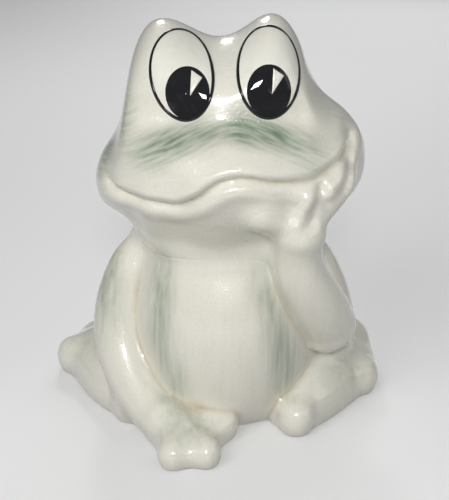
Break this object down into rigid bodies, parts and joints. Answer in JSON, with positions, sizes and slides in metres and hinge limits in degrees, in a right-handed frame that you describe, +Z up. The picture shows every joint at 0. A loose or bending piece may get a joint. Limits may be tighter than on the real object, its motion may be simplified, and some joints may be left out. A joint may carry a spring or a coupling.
{
  "type": "frog figurine",
  "caption": "Seated glazed ceramic frog ornament with bulging painted eyes, a wavy smile, one hand held to its cheek and webbed feet; hollow castings on a flat vented base.",
  "frame": {"origin": "middle of the vent hole, in the plane that the base stands on", "axes": "+Z up, the frog faces -Y, its own left hand is towards +X"},
  "size_m": [0.148, 0.1133, 0.1684],
  "materials": {
    "body_glaze": "gloss",
    "white_enamel": "gloss",
    "black_enamel": "gloss"
  },
  "bodies": {
    "root": {"torso": "body_glaze", "head": "body_glaze", "right_arm": "body_glaze", "left_arm": "body_glaze", "right_leg": "body_glaze", "left_leg": "body_glaze", "right_eye_white": "white_enamel", "left_eye_white": "white_enamel", "right_eye_outline": "black_enamel", "left_eye_outline": "black_enamel", "right_pupil": "black_enamel", "left_pupil": "black_enamel", "right_catchlight": "white_enamel", "left_catchlight": "white_enamel"}
  },
  "joints": []
}
